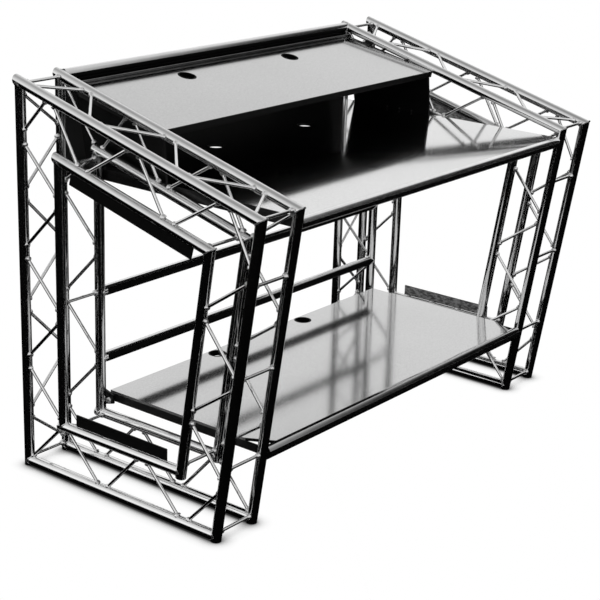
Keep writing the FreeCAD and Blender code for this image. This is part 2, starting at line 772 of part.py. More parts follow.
def bracket(name, side):
    """Gusset plate on the front of a post: tall at the post, short at its free end."""
    middle_z = size("Sizes.shelf_height - Sizes.bracket_drop")
    post_run = side_run(inner, side)
    post_y = (inner[side] + post_run * ((middle_z - inner[side].z) / post_run.z)).y
    body = document.addObject("PartDesign::Body", name + "_plate")
    sketch = body_sketch(body, "YZ_Plane", name + "_profile")
    length = size("Sizes.bracket_length")
    tall = size("Sizes.bracket_tall") / 2
    short = size("Sizes.bracket_short") / 2
    closed_outline(sketch, [(0, -tall), (length, -short), (length, short), (0, tall)])
    sketch.addConstraint(Sketcher.Constraint("Vertical", 3))
    sketch.addConstraint(Sketcher.Constraint("Symmetric", 3, 1, 3, 2, -1, 1))
    sketch.addConstraint(Sketcher.Constraint("Symmetric", 1, 1, 1, 2, -1))
    bind(sketch, "DistanceY", (0, 1, 2, 2), "tall", "Sizes.bracket_tall")
    bind(sketch, "DistanceY", (1, 1, 1, 2), "short", "Sizes.bracket_short")
    bind(sketch, "DistanceX", (0, 1, 0, 2), "length", "Sizes.bracket_length")
    pad(body, sketch, name + "_slab", "Sizes.bracket_thickness")
    plate_x = -clear_half_width - size("Sizes.bracket_thickness")
    body.Placement = Placement(Vector(plate_x, post_y, middle_z), Rotation(ACROSS, 180))
    return cut(name, body, cope(name + "_cope", *side_ends(inner, inboard_x, side)))


brackets = [bracket("rear_bracket", REAR), bracket("front_bracket", FRONT)]
both_sides("shelf_brackets", group("brackets", brackets))


# Upper shelf, tilted up to the back

REAR_HEIGHT = "(Sizes.worktop_height + Sizes.rear_rise)"
CHORD_FALL = "(Sizes.upper_front * (Sizes.rear_rise - Sizes.front_rise) / Sizes.top_reach)"
UPPER_FALL = f"({CHORD_FALL} + Sizes.upper_front_drop - Sizes.upper_rear_drop)"
UPPER_TILT = f"atan({UPPER_FALL} / Sizes.upper_front)"
UPPER_LEAN = f"Sizes.upper_thickness * sin({UPPER_TILT})"
UPPER_DEPTH = f"((Sizes.upper_front - {BACK_FACE} - {UPPER_LEAN}) / cos({UPPER_TILT}))"
UPPER_BOARD_DEPTH = f"({UPPER_DEPTH} - Sizes.upper_edge_depth - Sizes.weld_gap)"
tilt = math.atan(size(f"{UPPER_FALL} / Sizes.upper_front"))
upper_turn = Rotation(ACROSS, math.degrees(tilt))
upper_y = ahead_of_rear(size("Sizes.upper_front"))
upper_front_top = Vector(0, upper_y, size(f"{REAR_HEIGHT} - Sizes.upper_rear_drop - {UPPER_FALL}"))
upper_foot = upper_front_top - upper_turn.multVec(UP) * size("Sizes.upper_thickness")


def upper_top_z(y):
    """Height of the shelf's upper face."""
    return upper_front_top.z + (y - upper_y) * math.tan(tilt)


def upper_underside_z(y):
    return upper_top_z(y) - size("Sizes.upper_thickness") / math.cos(tilt)


def upper_place(x, along, above):
    """Placement on the tilted shelf: along its slope from the front and above its underside."""
    return Placement(upper_foot + upper_turn.multVec(Vector(x, along, above)), upper_turn)


edge_depth = size("Sizes.upper_edge_depth")
board("upper_shelf_board", BOARD_WIDTH, UPPER_BOARD_DEPTH, "Sizes.upper_thickness",
      "Sizes.upper_hole_spacing", f"{UPPER_BOARD_DEPTH} - Sizes.upper_hole_setback",
      upper_place(0, edge_depth + weld_gap, 0))
keep("upper_shelf_front_edge",
     brick("upper_edge", (BOARD_WIDTH, "Sizes.upper_edge_depth", "Sizes.upper_thickness"),
           upper_place(board_left_x, 0, 0)))
upper_face = size("Sizes.upper_thickness") + weld_gap
keep("upper_shelf_batten",
     brick("batten", (BOARD_WIDTH, "Sizes.batten_depth", "Sizes.batten_height"),
           upper_place(board_left_x, size(f"{UPPER_DEPTH} - Sizes.batten_depth"), upper_face)))


def lug(name, setback, width):
    """Block on the shelf's side edge that fills the gap up to the flank of the top chord."""
    y = ahead_of_rear(size(setback))
    chord_z = meeting_point(Vector(0, y, 0), UP, outer[TOP], side_run(outer, TOP)).z
    height = (chord_z - upper_top_z(y)) * math.cos(tilt) + size("Sizes.lug_rise")
    along = (y - upper_y) / math.cos(tilt) - size(width) / 2
    return brick(name, ("Sizes.lug_reach", width, f"{height} mm"), upper_place(board_left_x, along, upper_face))


lugs = [lug("rear_lug", "Sizes.rear_lug_setback", "Sizes.rear_lug_width"),
        lug("middle_lug", "Sizes.middle_lug_setback", "Sizes.slim_lug_width"),
        lug("front_lug", "Sizes.front_lug_setback", "Sizes.slim_lug_width")]
both_sides("upper_shelf_lugs", group("lugs", lugs))


# Black panels between worktop and upper shelf

PANEL_TALL = "Sizes.rear_rise + Sizes.back_panel_drop - Sizes.tube_diameter / 2 - Sizes.fit_gap"
back_panel = document.addObject("PartDesign::Body", "back_panel")
back_sketch = body_sketch(back_panel, "XZ_Plane", "back_panel_outline")
middle_rectangle(back_sketch, BOARD_WIDTH, PANEL_TALL)
pad(back_panel, back_sketch, "back_panel_slab", "Sizes.panel_thickness", symmetric=True)
back_foot = size("Sizes.worktop_height - Sizes.back_panel_drop")
back_panel.Placement = Placement(Vector(0, rear_axis, back_foot), Rotation())
keep("back_panel", back_panel)


panel_foot = size("Sizes.worktop_height") + weld_gap


def end_panel(name):
    """Upright panel at the end of the upper shelf, raked at the back and a little at the front."""
    body = document.addObject("PartDesign::Body", name)
    sketch = body_sketch(body, "YZ_Plane", name + "_outline")
    front_foot = ahead_of_rear(size("Sizes.end_panel_front_foot"))
    front_head = ahead_of_rear(size("Sizes.end_panel_front_head"))
    rear_foot = ahead_of_rear(size("Sizes.end_panel_rear_foot"))
    rear_head = ahead_of_rear(size("Sizes.end_panel_rear_head"))
    front_tall = upper_underside_z(front_head) - weld_gap - panel_foot
    rear_tall = upper_underside_z(rear_head) - weld_gap - panel_foot
    closed_outline(sketch, [(0, 0), (rear_foot - front_foot, 0), (rear_head - front_foot, rear_tall),
                            (front_head - front_foot, front_tall)])
    sketch.addConstraint(Sketcher.Constraint("Coincident", 0, 1, -1, 1))
    sketch.addConstraint(Sketcher.Constraint("Horizontal", 0))
    corners = (("rear_foot", (0, 2)), ("rear_head", (1, 2)), ("front_head", (3, 1)))
    for corner, point in corners:
        behind = f"Sizes.end_panel_front_foot - Sizes.end_panel_{corner}"
        bind(sketch, "DistanceX", (0, 1, *point), corner, behind)
    bind(sketch, "DistanceY", (0, 1, 1, 2), "rear_tall", f"{rear_tall} mm")
    bind(sketch, "DistanceY", (0, 1, 3, 1), "front_tall", f"{front_tall} mm")
    pad(body, sketch, name + "_slab", "Sizes.panel_thickness")
    panel_x = -clear_half_width + size("Sizes.end_panel_inset")
    body.Placement = Placement(Vector(panel_x, front_foot, panel_foot), Rotation())
    return body


both_sides("end_panel", end_panel("end_panel_left"))
cleat_y = ahead_of_rear(size("Sizes.end_panel_front_foot - Sizes.cleat_setback"))
cleat_x = -clear_half_width + size("Sizes.end_panel_inset - Sizes.cleat_side") - weld_gap
left_cleat = brick("left_cleat", ("Sizes.cleat_side", "Sizes.cleat_length", "Sizes.cleat_side"),
                   Placement(Vector(cleat_x, cleat_y, panel_foot), Rotation()))
keep("end_panel_cleats", group("cleats", [left_cleat, twin_of("right_cleat", left_cleat)]))


# Check every object and write the nodes

document.recompute()
for item in document.Objects:
    troubles = [state for state in item.State if state in ("Invalid", "Error")]
    if troubles:
        raise RuntimeError(f"{item.Label} is {troubles}")
os.makedirs("parts", exist_ok=True)
for item in nodes:
    if item.Shape.isNull() or not item.Shape.isValid() or not item.Shape.Solids:
        raise RuntimeError(f"{item.Label} has no sound shape")
    item.Shape.exportStep(f"parts/{item.Label}.step")
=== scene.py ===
import json
import math

import bpy
import numpy as np
from mathutils import Matrix, Vector


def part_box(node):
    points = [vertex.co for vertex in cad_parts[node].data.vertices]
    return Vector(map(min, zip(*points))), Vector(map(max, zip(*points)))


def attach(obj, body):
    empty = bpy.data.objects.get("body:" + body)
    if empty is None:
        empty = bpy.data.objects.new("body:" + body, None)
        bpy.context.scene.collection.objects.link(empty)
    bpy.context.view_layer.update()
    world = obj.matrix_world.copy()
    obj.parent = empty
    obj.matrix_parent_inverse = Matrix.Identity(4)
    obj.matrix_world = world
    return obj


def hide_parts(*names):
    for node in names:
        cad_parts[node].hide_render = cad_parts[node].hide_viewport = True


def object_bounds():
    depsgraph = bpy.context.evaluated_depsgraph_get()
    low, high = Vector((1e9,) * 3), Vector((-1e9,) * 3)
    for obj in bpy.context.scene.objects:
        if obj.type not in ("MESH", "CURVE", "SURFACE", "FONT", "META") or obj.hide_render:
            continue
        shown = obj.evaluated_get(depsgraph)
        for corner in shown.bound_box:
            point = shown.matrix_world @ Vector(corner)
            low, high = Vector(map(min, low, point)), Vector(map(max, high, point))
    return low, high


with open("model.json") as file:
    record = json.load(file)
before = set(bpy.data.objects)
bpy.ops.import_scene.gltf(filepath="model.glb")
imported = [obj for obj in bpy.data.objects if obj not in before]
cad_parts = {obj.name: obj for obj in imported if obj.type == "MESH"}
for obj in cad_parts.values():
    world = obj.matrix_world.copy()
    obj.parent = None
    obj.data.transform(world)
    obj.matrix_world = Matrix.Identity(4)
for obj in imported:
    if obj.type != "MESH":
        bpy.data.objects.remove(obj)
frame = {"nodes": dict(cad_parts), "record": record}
cad_low, cad_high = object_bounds()
nodes = frame["nodes"]

# Words and directions used throughout; all lengths in this file are metres
BODY = "root"
OUTWARD = {"left": -1.0, "right": 1.0}
SIDES = tuple(OUTWARD)
OUTBOARD, INBOARD = 0, 1
ACROSS, BACKWARD, UPWARD = (1.0, 0.0, 0.0), (0.0, 1.0, 0.0), (0.0, 0.0, 1.0)
TUBE_RADIUS = 0.015


# Reading the bars of the CAD model

SAME_PLACE_DIGITS = 6
SMALLEST_AREA = 1e-12
FLANK_LIMIT = 0.1
FLANK_ROUNDS = 3
RIM_SHARE = 0.97
RIM_ROUNDS = 2


def triangles_of(node):
    """Corner points and corner numbers of a CAD node, points at the same place merged."""
    mesh = nodes[node].data
    mesh.calc_loop_triangles()
    places = np.empty(len(mesh.vertices) * 3)
    mesh.vertices.foreach_get("co", places)
    corners = np.empty(len(mesh.loop_triangles) * 3, dtype=np.int64)
    mesh.loop_triangles.foreach_get("vertices", corners)
    rounded = np.round(places.reshape(-1, 3), SAME_PLACE_DIGITS)
    points, same = np.unique(rounded, axis=0, return_inverse=True)
    return points, same.reshape(-1)[corners].reshape(-1, 3)


def solids_of(node):
    """Points and triangles of each separate solid: corners joined by triangles share the lowest label."""
    points, triangles = triangles_of(node)
    labels = np.arange(len(points))
    while True:
        lower = labels.copy()
        lowest = labels[triangles].min(axis=1, keepdims=True).repeat(3, axis=1)
        np.minimum.at(lower, triangles, lowest)
        lower = lower[lower]
        if np.array_equal(lower, labels):
            break
        labels = lower
    return [(points, triangles[labels[triangles[:, 0]] == label]) for label in np.unique(labels)]


def triangle_normals(points, triangles):
    """Cross product of two sides of each triangle, as long as twice its area."""
    first, second, third = (points[triangles[:, number]] for number in range(3))
    return np.cross(second - first, third - first)


def axis_of(points, triangles):
    """Ends and radius of a round or many-sided bar.

    The axis is the direction that the flanks' normals never point in, the centre is the middle of the
    circle through the corners seen along the axis, and the ends are the outermost corners along it.
    """
    normals = triangle_normals(points, triangles)
    weights = np.linalg.norm(normals, axis=1)
    units = normals / np.maximum(weights, SMALLEST_AREA)[:, None]
    flank = np.ones(len(units), dtype=bool)
    for _ in range(FLANK_ROUNDS):
        scatter = (units[flank] * weights[flank, None]).T @ units[flank]
        axis = np.linalg.eigh(scatter)[1][:, 0]
        flank = np.abs(units @ axis) < FLANK_LIMIT
    corners = points[np.unique(triangles)]
    across = np.linalg.eigh(np.outer(axis, axis))[1][:, :2]
    flat = corners @ across
    for _ in range(RIM_ROUNDS):
        system = np.column_stack((2 * flat, np.ones(len(flat))))
        answer = np.linalg.lstsq(system, (flat ** 2).sum(axis=1), rcond=None)[0]
        reach = np.linalg.norm(flat - answer[:2], axis=1)
        flat = flat[reach > reach.max() * RIM_SHARE]
    along = corners @ axis
    centre = across @ answer[:2]
    return centre + axis * along.min(), centre + axis * along.max(), reach.max()


def bars_of(node):
    """Start points, end points and radii of all bars of a node."""
    found = [axis_of(points, triangles) for points, triangles in solids_of(node)]
    starts, ends, radii = (np.array(column) for column in zip(*found))
    return starts, ends, radii


# Making pieces

SHARP_ANGLE = math.radians(42)
NEARLY_UPRIGHT = 0.9


def unit(vectors):
    """Vectors of length one in the same directions."""
    return vectors / np.linalg.norm(vectors, axis=-1, keepdims=True)


def dot(first, second):
    """Products of vectors, one number for each pair."""
    return (first * second).sum(axis=-1, keepdims=True)


def stack_faces(stack, ring):
    """Corner numbers, face sizes and UV places for a stack of grids, count x rows x columns x 3.

    Every grid is closed round its columns, and each cell becomes a quad. A ring's last row joins its first;
    otherwise one polygon closes each end. The UV map holds the metres along the rows and the share of the
    turn round the columns.
    """
    count, rows, columns = stack.shape[:3]
    cells = rows if ring else rows - 1
    number = np.arange(count * rows * columns).reshape(count, rows, columns)
    near = number[:, :cells]
    far = np.roll(number, -1, axis=1)[:, :cells]
    quads = np.stack((near, np.roll(near, -1, axis=2), np.roll(far, -1, axis=2), far), axis=-1)
    spine = stack.mean(axis=2)
    steps = np.linalg.norm(np.roll(spine, -1, axis=1) - spine, axis=2)
    metres = np.concatenate((np.zeros((count, 1)), np.cumsum(steps, axis=1)), axis=1)
    here, ahead = metres[:, :cells], metres[:, 1:cells + 1]
    along = np.stack((here, here, ahead, ahead), axis=-1)[:, :, None]
    share = np.arange(columns) / columns
    turn = np.stack((share, share + 1 / columns, share + 1 / columns, share), axis=-1)[None, None]
    corners = quads.reshape(-1)
    uv = np.stack(np.broadcast_arrays(along, turn), axis=-1).reshape(-1, 2)
    sides = np.full(quads.size // 4, 4)
    if not ring:
        lids = np.concatenate((number[:, 0, ::-1], number[:, -1]))
        corners = np.concatenate((corners, lids.reshape(-1)))
        uv = np.concatenate((uv, np.zeros((lids.size, 2))))
        sides = np.concatenate((sides, np.full(len(lids), columns)))
    return corners, sides, uv


def piece_from_stack(name, stack, material, ring=False):
    """One object from a stack of closed grids, riding on the booth's body."""
    corners, sides, uv = stack_faces(stack, ring)
    mesh = bpy.data.meshes.new(name)
    mesh.vertices.add(stack.size // 3)
    mesh.vertices.foreach_set("co", stack.reshape(-1).astype(np.float32))
    mesh.loops.add(len(corners))
    mesh.loops.foreach_set("vertex_index", corners.astype(np.int32))
    mesh.polygons.add(len(sides))
    mesh.polygons.foreach_set("loop_start", (np.cumsum(sides) - sides).astype(np.int32))
    mesh.update(calc_edges=True)
    mesh.uv_layers.new(name="UVMap").data.foreach_set("uv", uv.reshape(-1).astype(np.float32))
    mesh.validate()
    mesh.shade_smooth()
    mesh.set_sharp_from_angle(angle=SHARP_ANGLE)
    mesh.materials.append(material)
    piece = bpy.data.objects.new(name, mesh)
    bpy.context.scene.collection.objects.link(piece)
    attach(piece, BODY)
    return piece


def full_turn(facets):
    """Angles of equal steps once round, the last one short of the first."""
    return np.linspace(0, 2 * np.pi, facets, endpoint=False)


def circles(runs, facets):
    """Unit circles square to the runs: cosine of the turn on one cross axis, sine on the other."""
    helper = np.where(np.abs(runs[:, 2:]) < NEARLY_UPRIGHT, [UPWARD], [ACROSS])
    first = unit(np.cross(helper, runs))
    second = np.cross(runs, first)
    turn = full_turn(facets)[None, :, None]
    return np.cos(turn) * first[:, None] + np.sin(turn) * second[:, None]


def turned_shapes(starts, runs, heights, radii, facets):
    """Surfaces of revolution: at each height along its run, a circle of the given radius round the run."""
    spine = starts[:, None] + heights[..., None] * runs[:, None]
    return spine[:, :, None] + radii[..., None, None] * circles(runs, facets)[:, None]


def turned_alike(starts, runs, profile, facets):
    """The same turned profile, rows of height and radius, at every start."""
    heights, radii = (np.tile(column, (len(starts), 1)) for column in np.array(profile).T)
    return turned_shapes(starts, runs, heights, radii, facets)


def carried_across(section, ends, rows):
    """A section in the plane of X = 0, carried along X from end to end in equal steps."""
    return np.linspace(*ends, rows)[:, None, None] * np.array(ACROSS) + section[None]


# Finishes

PLUG_BLACK = 0.010
# Black of the boards' undersides and sides: painted shade
UNDERSIDE_SHADE_BLACK = 0.006
# Black of the strips' paint, and painted shade on the nosings' lower parts
PAINT_AND_SHADE_BLACK = 0.003
MIX_SHARE, MIX_FIRST, MIX_SECOND, MIX_COLOUR = 0, 6, 7, 2


class Wire:
    """One output of a shader node; sums and products on it add Math nodes."""

    def __init__(self, tree, socket):
        self.tree = tree
        self.socket = socket

    def node(self, kind, settings=(), sockets=(), output=0):
        """Add a node: its type, its settings, the values or wires of its sockets, and the output to take."""
        made = self.tree.nodes.new(kind)
        for setting, value in dict(settings).items():
            if setting == "stops":
                set_stops(made.color_ramp, value)
            else:
                setattr(made, setting, value)
        for socket, value in dict(sockets).items():
            if isinstance(value, Wire):
                self.tree.links.new(value.socket, made.inputs[socket])
            else:
                made.inputs[socket].default_value = value
        return Wire(self.tree, made.outputs[output])

    def maths(self, operation, first, second=0.0):
        return self.node("ShaderNodeMath", {"operation": operation}, {0: first, 1: second})

    def __add__(self, other):
        return self.maths("ADD", self, other)

    __radd__ = __add__

    def __sub__(self, other):
        return self.maths("SUBTRACT", self, other)

    def __rsub__(self, other):
        return self.maths("SUBTRACT", other, self)

    def __mul__(self, other):
        return self.maths("MULTIPLY", self, other)

    __rmul__ = __mul__

    def __abs__(self):
        return self.maths("ABSOLUTE", self)

    def along(self, run):
        """How far a vector reaches along a unit run."""
        return self.node("ShaderNodeVectorMath", {"operation": "DOT_PRODUCT"}, {0: self, 1: run}, "Value")

    def between(self, low, high):
        """Smooth step from 0 at the low value to 1 at the high one."""
        return self.node("ShaderNodeMapRange", {"interpolation_type": "SMOOTHSTEP"},
                         {"Value": self, "From Min": low, "From Max": high})

    def mix(self, low, high):
        """Colour between two others, this wire as the share of the second."""
        return self.node("ShaderNodeMix", {"data_type": "RGBA"},
                         {MIX_SHARE: self, MIX_FIRST: low, MIX_SECOND: high}, MIX_COLOUR)

    def noise(self, scale, detail=3.0, roughness=0.5):
        """Soft noise at the places that this wire gives."""
        return self.node("ShaderNodeTexNoise", {},
                         {"Vector": self, "Scale": scale, "Detail": detail, "Roughness": roughness})

    def stretched(self, run, share):
        """Places squeezed along a run by a share of their reach, so that a pattern is drawn out along it."""
        shift = self.node("ShaderNodeVectorMath", {"operation": "SCALE"},
                          {0: run, "Scale": self.along(run) * share})
        return self.node("ShaderNodeVectorMath", {"operation": "SUBTRACT"}, {0: self, 1: shift})


def set_stops(ramp, stops):
    """Give a ramp its stops, each a place and a grey value."""
    while len(ramp.elements) < len(stops):
        ramp.elements.new(1.0)
    for element, (place, value) in zip(ramp.elements, stops):
        element.position = place
        element.color = grey(value)


def grey(value):
    """Neutral colour of a linear value."""
    return (value, value, value, 1.0)


class Finish:
    """A material under construction: its tree, its Principled shader, its places and its surface normal."""

    def __init__(self, name, **constants):
        self.material = bpy.data.materials.new(name)
        self.material.use_nodes = True
        self.tree = self.material.node_tree
        self.shader = self.tree.nodes["Principled BSDF"]
        for socket, value in constants.items():
            self.shader.inputs[socket.replace("_", " ")].default_value = value
        coordinates = self.tree.nodes.new("ShaderNodeTexCoord")
        self.places = Wire(self.tree, coordinates.outputs["Object"])
        self.uv = Wire(self.tree, coordinates.outputs["UV"])
        self.normal = Wire(self.tree, self.tree.nodes.new("ShaderNodeNewGeometry").outputs["Normal"])

    def feed(self, **wires):
        for socket, wire in wires.items():
            self.tree.links.new(wire.socket, self.shader.inputs[socket.replace("_", " ")])

    def bump(self, height, strength, distance):
        return height.node("ShaderNodeBump", {},
                           {"Height": height, "Strength": strength, "Distance": distance})


def drawn_tube(name, run, shade):
    """Mill-finish tube: fine lines along its run, cloudy oxide, handling smudges, black plugs in open ends."""
    finish = Finish(name)
    lines = finish.places.stretched(run, 0.97).noise(scale=420.0, detail=2.0)
    cloud = finish.places.noise(scale=6.0)
    smudge = finish.places.noise(scale=28.0, detail=3.0, roughness=0.6)
    plug = abs(finish.normal.along(run)).between(0.90, 0.96)
    tone = (lines * 0.4 + cloud * 0.6).between(0.34, 0.68)
    metal = tone.mix(grey(shade - 0.05), grey(shade + 0.04))
    finish.feed(Base_Color=plug.mix(metal, grey(PLUG_BLACK)),
                Metallic=1 - plug,
                Roughness=lines * 0.05 + smudge * 0.06 + 0.07 + plug * 0.3,
                Normal=finish.bump(lines, strength=0.03, distance=0.0002))
    return finish.material


def drawn_rod(name):
    """Bright drawn rod: lines that keep their place round the rod, dull and bright lengths."""
    finish = Finish(name, Metallic=1.0)
    metres = finish.uv.node("ShaderNodeSeparateXYZ", {}, {0: finish.uv}, "X")
    turn = finish.uv.node("ShaderNodeSeparateXYZ", {}, {0: finish.uv}, "Y") * (2 * math.pi)
    ring = turn.node("ShaderNodeCombineXYZ", {}, {"X": turn.maths("COSINE", turn),
                                                  "Y": turn.maths("SINE", turn),
                                                  "Z": metres * 4.0})
    lines = ring.noise(scale=3.5, detail=3.0)
    cloud = finish.places.noise(scale=22.0)
    tone = (lines * 0.5 + cloud * 0.5).between(0.32, 0.68)
    finish.feed(Base_Color=tone.mix(grey(0.78), grey(0.88)),
                Roughness=lines * 0.06 + cloud * 0.04 + 0.03,
                Normal=finish.bump(lines, strength=0.02, distance=0.0003))
    return finish.material


def weld_metal(name):
    """Bright bead of a hand weld with fine ripples."""
    finish = Finish(name, Metallic=1.0)
    ripple = finish.places.noise(scale=420.0, detail=2.0)
    cloud = finish.places.noise(scale=90.0, detail=2.0)
    finish.feed(Base_Color=cloud.between(0.35, 0.7).mix(grey(0.72), grey(0.92)),
                Roughness=ripple * 0.2 + 0.22,
                Normal=finish.bump(ripple, strength=0.2, distance=0.0008))
    return finish.material


def bolt_steel(name):
    """Zinc-plated fastener: pale, slightly clouded."""
    finish = Finish(name, Metallic=1.0)
    cloud = finish.places.noise(scale=300.0, detail=2.0)
    finish.feed(Base_Color=cloud.between(0.3, 0.7).mix(grey(0.66), grey(0.84)),
                Roughness=cloud * 0.2 + 0.18,
                Normal=finish.bump(cloud, strength=0.05, distance=0.0003))
    return finish.material


def black_paint(name, shade, gloss, shine):
    """Black finish on bars, edges and panels: fine grain, dull and shiny patches, a few pale rubs."""
    finish = Finish(name, Specular_IOR_Level=shine)
    grain = finish.places.noise(scale=600.0, detail=2.0)
    patch = finish.places.noise(scale=14.0)
    worn = finish.places.noise(scale=60.0, detail=4.0, roughness=0.6).between(0.69, 0.80) * 0.5
    finish.feed(Base_Color=worn.mix(grey(shade), grey(shade * 3 + 0.006)),
                Roughness=patch * 0.16 + grain * 0.08 + gloss - 0.12,
                Normal=finish.bump(grain, strength=0.08, distance=0.0004))
    return finish.material


def strip_paint(name):
    """Flat bar painted black on its outer side; on the side towards the middle, grey streaks are a painted
    reflection of the booth's inside.

    On an inner side the place and the normal along X have opposite signs.
    """
    finish = Finish(name, Specular_IOR_Level=0.1)
    grain = finish.places.noise(scale=600.0, detail=2.0)
    streaks = finish.places.stretched(BACKWARD, 0.5).noise(scale=120.0, detail=4.0, roughness=0.7)
    grey_streaks = streaks.between(0.38, 0.62)
    # Painted reflection: the side towards the middle is painted grey in streaks.
    inner = 1 - (finish.places.along(ACROSS) * finish.normal.along(ACROSS)).between(-0.4, -0.2)
    finish.feed(Base_Color=inner.mix(grey(PAINT_AND_SHADE_BLACK), grey_streaks.mix(grey(0.08), grey(0.34))),
                Roughness=grain * 0.08 + grey_streaks * 0.10 + 0.26,
                Normal=finish.bump(grain, strength=0.08, distance=0.0004))
    return finish.material


def board_facing(name, shade, blur, edging):
    """Metal-faced board: bright speckled facing on top, metal edging on its ends or none, the rest painted
    black as painted shade under the board.
    """
    finish = Finish(name)
    top = finish.normal.along(UPWARD).between(0.6, 0.9)
    end = abs(finish.places.along(ACROSS)).between(0.650, 0.655) * edging
    metal = top.maths("MAXIMUM", top, abs(finish.normal.along(ACROSS)) * end)
    speckle = finish.places.noise(scale=210.0, detail=3.0, roughness=0.65)
    cloud = finish.places.noise(scale=2.6)
    smear = finish.places.noise(scale=9.0, detail=4.0, roughness=0.6)
    tone = (speckle * 0.75 + cloud * 0.25).between(0.36, 0.64)
    facing = tone.mix(grey(shade - 0.045), grey(shade + 0.03))
    # Painted shade: all but the top facing and the edging is painted black.
    finish.feed(Base_Color=metal.mix(grey(UNDERSIDE_SHADE_BLACK), facing),
                Metallic=metal,
                Roughness=smear * 0.04 + speckle * 0.05 + blur - 0.045 + (1 - top) * 0.22,
                Normal=finish.bump(speckle, strength=0.012, distance=0.0003))
    return finish.material


def rolled_metal(name, dark, pale, blur, shade_level=(-2.0, -1.5)):
    """Metal strip or facing rolled along X: fine lines along it and darker handling marks.

    Where the surface faces lower than the shade level says, it is painted black: painted shade on the lower
    part.
    """
    finish = Finish(name)
    rolled = finish.places.stretched(ACROSS, 0.98).noise(scale=260.0, detail=2.0)
    mark = finish.places.noise(scale=18.0, detail=4.0, roughness=0.6)
    # Painted shade: faces lower than the shade level are painted black.
    faced = finish.normal.along(UPWARD).between(*shade_level)
    tone = (rolled * 0.4 + mark * 0.6).between(0.35, 0.65).mix(grey(dark), grey(pale))
    finish.feed(Base_Color=faced.mix(grey(PAINT_AND_SHADE_BLACK), tone),
                Metallic=faced,
                Roughness=mark * 0.08 + rolled * 0.04 + blur - 0.06,
                Normal=finish.bump(rolled, strength=0.03, distance=0.0003))
    return finish.material


def run_of(node):
    """Unit run of a node's first tube."""
    starts, ends, _ = bars_of(node)
    return tuple(unit(ends - starts)[0])


# The first name that is found in a tube's name gives its metal. The shades of this one aluminium differ by run
# as painted light and shade: lighter on the level bottom chords, darker on the sloping top chords.
tube_metals = {
    "rear_posts": drawn_tube("upright_tube", UPWARD, shade=0.80),
    "bottom_chords": drawn_tube("level_tube", BACKWARD, shade=0.90),
    "front_posts": drawn_tube("leaning_tube", run_of("left_front_posts_outer"), shade=0.80),
    "top_chords": drawn_tube("sloping_tube", run_of("left_top_chords_outer"), shade=0.76),
    "rear_": drawn_tube("cross_tube", ACROSS, shade=0.82),
}
rod_metal = drawn_rod("rod_metal")
bead_metal = weld_metal("weld_metal")
bolt_metal = bolt_steel("bolt_steel")
bar_black = black_paint("bar_black", shade=0.003, gloss=0.30, shine=0.55)
edge_black = black_paint("edge_black", shade=0.003, gloss=0.22, shine=0.6)
band_black = black_paint("band_black", shade=0.003, gloss=0.42, shine=0.10)
strip_black = strip_paint("strip_paint")
panel_black = black_paint("panel_black", shade=0.002, gloss=0.38, shine=0.2)
cap_black = black_paint("cap_black", shade=0.010, gloss=0.44, shine=0.4)
# Black of the painted shade: the strips on the cross tubes and the collars in the shelf holes
painted_shade_black = black_paint("painted_shade_black", shade=0.0012, gloss=0.50, shine=0.06)
batten_metal = rolled_metal("dark_batten", dark=0.15, pale=0.21, blur=0.18)

SLOT_FINISHES = {
    "lacing_rod": rod_metal,
    "black_bar": bar_black,
    "black_edge": edge_black,
    "grey_edge": batten_metal,
    "black_panel": panel_black,
}
NODE_FINISHES = {
    "worktop_board": board_facing("worktop_facing", shade=0.70, blur=0.078, edging=0.0),
    "lower_shelf_board": board_facing("lower_facing", shade=0.59, blur=0.11, edging=1.0),
    "upper_shelf_board": board_facing("upper_facing", shade=0.58, blur=0.11, edging=0.0),
    "worktop_nosing": rolled_metal("worktop_nosing_facing", dark=0.86, pale=0.95, blur=0.16,
                                   shade_level=(0.17, 0.19)),
    "lower_shelf_nosing": rolled_metal("shelf_nosing_facing", dark=0.58, pale=0.68, blur=0.10,
                                       shade_level=(0.33, 0.35)),
    "upper_shelf_front_edge": band_black,
}
NODE_FINISHES |= {f"{side}_scrim_strip_{level}": strip_black
                  for side in SIDES for level in ("upper", "lower")}


def finish_of(node, slot):
    """Material of a CAD node: its own one, for tubes the one of their run, otherwise that of its slot."""
    if node in NODE_FINISHES:
        return NODE_FINISHES[node]
    if slot == "truss_tube":
        return next(metal for kind, metal in tube_metals.items() if kind in node)
    return SLOT_FINISHES[slot]


for subpart in frame["record"]["subparts"]:
    mesh = nodes[subpart["node"]].data
    mesh.materials.clear()
    mesh.materials.append(finish_of(subpart["node"], subpart["material_slot"]))


# Lacing rods and their weld beads

LACED_NODES = ("lacing_outboard", "lacing_inboard", "lacing_rear", "lacing_top", "cross_rungs")
ROD_FACETS = 14
ROD_RADIUS = 0.0047
BEAD_RADIUS = 0.0092
BEAD_HEIGHT = 0.0056
BEAD_SINK = 0.6
BEAD_TAPER = 0.75
BEAD_LOBE = 0.07
BEAD_LOBE_COUNT = 3
BEAD_WIDTHS = (0.85, 1.1)
BEAD_RISES = (0.85, 1.15)
BEAD_RINGS = 5
BEAD_FACETS = 12
SEED = 20


def round_rods(starts, ends, radius):
    """Straight round rods: a circle carried from end to end."""
    lengths = np.linalg.norm(ends - starts, axis=1)
    heights = np.column_stack((np.zeros(len(lengths)), lengths))
    return turned_shapes(starts, unit(ends - starts), heights, np.full_like(heights, radius), ROD_FACETS)


